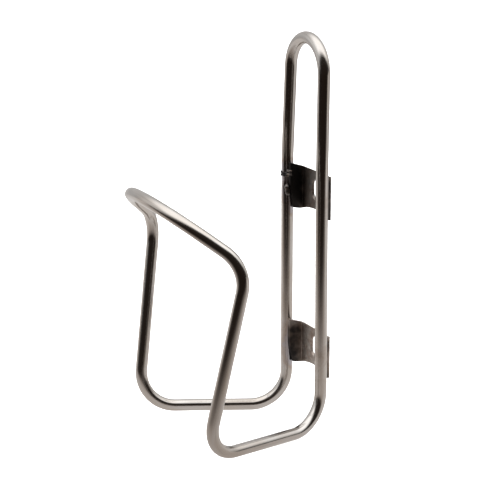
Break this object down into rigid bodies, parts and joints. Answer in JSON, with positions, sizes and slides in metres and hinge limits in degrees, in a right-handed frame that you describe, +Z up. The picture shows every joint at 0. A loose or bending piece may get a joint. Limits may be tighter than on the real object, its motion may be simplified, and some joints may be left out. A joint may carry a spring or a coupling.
{
  "type": "water bottle cage",
  "caption": "Bent-tube bicycle bottle cage: a closed tube loop with a rising front hoop, held by slotted sheet brackets welded between its uprights.",
  "frame": {"origin": "centre of the two mounting slots, on the mounting plane at the back of both brackets", "axes": "+Y points at the bicycle frame and -Y at the bottle, +Z is up the bottle, +X is to the side; the cage is symmetric about the plane X = 0 apart from its butt joint and one weld bead"},
  "size_m": [0.0808, 0.0767, 0.1548],
  "materials": {
    "tube": "satin",
    "bracket": "satin",
    "weld": "matte"
  },
  "bodies": {
    "root": {"tube_frame": "tube", "bracket_upper": "bracket", "bracket_lower": "bracket", "weld_joint_ring": "weld", "weld_upper_left_front": "weld", "weld_upper_left_rear": "weld", "weld_upper_right_rear": "weld", "weld_lower_left_rear": "weld", "weld_lower_right_rear": "weld"}
  },
  "joints": []
}
